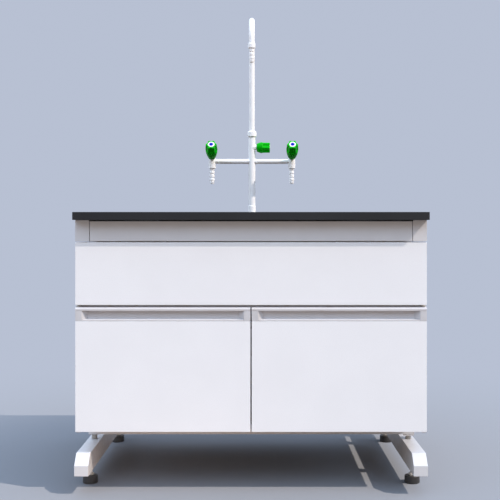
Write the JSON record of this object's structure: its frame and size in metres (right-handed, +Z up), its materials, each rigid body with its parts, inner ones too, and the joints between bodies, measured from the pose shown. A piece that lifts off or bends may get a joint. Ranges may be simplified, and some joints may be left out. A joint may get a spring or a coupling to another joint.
{
  "type": "laboratory sink cabinet",
  "caption": "Laboratory sink bench: steel C-frame on screw feet, hinged-door sink cabinet with recessed handles, dark worktop and gooseneck tap with side outlets.",
  "frame": {"origin": "on the floor, under the middle of the worktop", "axes": "+X to the right as seen by a user in front of the doors, +Y away from the user towards the back, +Z up"},
  "size_m": [1, 0.8, 1.4775],
  "materials": {
    "frame_paint": "light grey powder coat, satin",
    "white_board": "white melamine-faced board, fine matt texture",
    "dark_resin": "anthracite solid resin worktop, matt",
    "handle_profile": "light grey coated profile, satin",
    "cap_plastic": "light grey moulded end cap",
    "black_rubber": "black moulded pad",
    "zinc_steel": "zinc-plated steel",
    "nut_brass": "plain machined brass",
    "waste_chrome": "polished waste fitting",
    "sink_polymer": "black moulded polypropylene",
    "waste_plastic": "white moulded waste fittings",
    "tap_white": "white chemical-resistant coating, glossy",
    "knob_green": "green moulded knob",
    "index_white": "white index disc with a blue centre"
  },
  "bodies": {
    "bench": {"foot_bar_left": "frame_paint", "upright_left": "frame_paint", "top_arm_left": "frame_paint", "side_panel_left": "white_board", "door_pivot_lower_left": "zinc_steel", "door_pivot_upper_left": "zinc_steel", "valve_left": "tap_white", "hose_nozzle_left": "tap_white", "glide_front_left": "frame_paint", "glide_rear_left": "frame_paint", "foot_bar_right": "frame_paint", "upright_right": "frame_paint", "top_arm_right": "frame_paint", "side_panel_right": "white_board", "door_pivot_lower_right": "zinc_steel", "door_pivot_upper_right": "zinc_steel", "valve_right": "tap_white", "hose_nozzle_right": "tap_white", "glide_front_right": "frame_paint", "glide_rear_right": "frame_paint", "apron_rail": "frame_paint", "rear_beam": "frame_paint", "base_rail_front": "frame_paint", "base_rail_rear": "frame_paint", "bottom_panel": "white_board", "back_panel": "white_board", "front_panel": "white_board", "mid_rail": "white_board", "worktop": "dark_resin", "sink_bowl": "sink_polymer", "sink_waste": "waste_chrome", "bottle_trap": "waste_plastic", "trap_outlet": "waste_plastic", "tap_column": "tap_white", "swivel_collar": "tap_white", "tap_lock_nut": "nut_brass"},
    "left_door": {"door_left": "white_board", "handle_left": "handle_profile", "handle_cap_outer_left": "cap_plastic", "handle_cap_inner_left": "cap_plastic"},
    "right_door": {"door_right": "white_board", "handle_right": "handle_profile", "handle_cap_outer_right": "cap_plastic", "handle_cap_inner_right": "cap_plastic"},
    "left_knob": {"knob_left": "knob_green", "knob_index_left": "index_white"},
    "right_knob": {"knob_right": "knob_green", "knob_index_right": "index_white"},
    "top_knob": {"knob_top": "knob_green", "knob_index_top": "index_white"},
    "spout": {"gooseneck": "tap_white", "spout_nozzle": "tap_white"},
    "front_left_pad": {"leveller_pad_front_left": "black_rubber"},
    "front_left_stem": {"leveller_stem_front_left": "zinc_steel"},
    "front_right_pad": {"leveller_pad_front_right": "black_rubber"},
    "front_right_stem": {"leveller_stem_front_right": "zinc_steel"},
    "rear_left_pad": {"leveller_pad_rear_left": "black_rubber"},
    "rear_left_stem": {"leveller_stem_rear_left": "zinc_steel"},
    "rear_right_pad": {"leveller_pad_rear_right": "black_rubber"},
    "rear_right_stem": {"leveller_stem_rear_right": "zinc_steel"}
  },
  "joints": [
    {"name": "left_door_hinge", "type": "hinge", "parent": "bench", "child": "left_door", "pos_m": [-0.4912, -0.3555, 0.35], "axis": [0, 0, -1], "range_deg": [0, 110]},
    {"name": "right_door_hinge", "type": "hinge", "parent": "bench", "child": "right_door", "pos_m": [0.4912, -0.3555, 0.35], "axis": [0, 0, 1], "range_deg": [0, 110]},
    {"name": "left_knob_turn", "type": "hinge", "parent": "bench", "child": "left_knob", "pos_m": [-0.1395, 0.245, 0.9937], "axis": [0, -0.8241, 0.5664], "range_deg": [0, 90]},
    {"name": "right_knob_turn", "type": "hinge", "parent": "bench", "child": "right_knob", "pos_m": [0.1395, 0.245, 0.9937], "axis": [0, -0.8241, 0.5664], "range_deg": [0, 90]},
    {"name": "top_knob_turn", "type": "hinge", "parent": "bench", "child": "top_knob", "pos_m": [0.0168, 0.245, 1.0422], "axis": [1, 0, 0], "range_deg": [0, 90]},
    {"name": "spout_swivel", "type": "hinge", "parent": "bench", "child": "spout", "pos_m": [0, 0.245, 1.1], "axis": [0, 0, 1], "continuous": true},
    {"name": "front_left_foot_slide", "type": "slide", "parent": "bench", "child": "front_left_pad", "axis": [0, 0, 1], "range_m": [0, 0.0245]},
    {"name": "front_left_stem_turn", "type": "hinge", "parent": "front_left_pad", "child": "front_left_stem", "pos_m": [-0.4782, -0.239, 0.04], "axis": [0, 0, 1], "range_deg": [0, 5040]},
    {"name": "front_right_foot_slide", "type": "slide", "parent": "bench", "child": "front_right_pad", "axis": [0, 0, 1], "range_m": [0, 0.0245]},
    {"name": "front_right_stem_turn", "type": "hinge", "parent": "front_right_pad", "child": "front_right_stem", "pos_m": [0.4782, -0.239, 0.04], "axis": [0, 0, 1], "range_deg": [0, 5040]},
    {"name": "rear_left_foot_slide", "type": "slide", "parent": "bench", "child": "rear_left_pad", "axis": [0, 0, 1], "range_m": [0, 0.0245]},
    {"name": "rear_left_stem_turn", "type": "hinge", "parent": "rear_left_pad", "child": "rear_left_stem", "pos_m": [-0.4782, 0.295, 0.04], "axis": [0, 0, 1], "range_deg": [0, 5040]},
    {"name": "rear_right_foot_slide", "type": "slide", "parent": "bench", "child": "rear_right_pad", "axis": [0, 0, 1], "range_m": [0, 0.0245]},
    {"name": "rear_right_stem_turn", "type": "hinge", "parent": "rear_right_pad", "child": "rear_right_stem", "pos_m": [0.4782, 0.295, 0.04], "axis": [0, 0, 1], "range_deg": [0, 5040]}
  ],
  "couplings": [
    {"joint": "front_left_stem_turn", "follows": "front_left_foot_slide", "rad_per_m": 3590.4},
    {"joint": "front_right_stem_turn", "follows": "front_right_foot_slide", "rad_per_m": 3590.4},
    {"joint": "rear_left_stem_turn", "follows": "rear_left_foot_slide", "rad_per_m": 3590.4},
    {"joint": "rear_right_stem_turn", "follows": "rear_right_foot_slide", "rad_per_m": 3590.4}
  ]
}
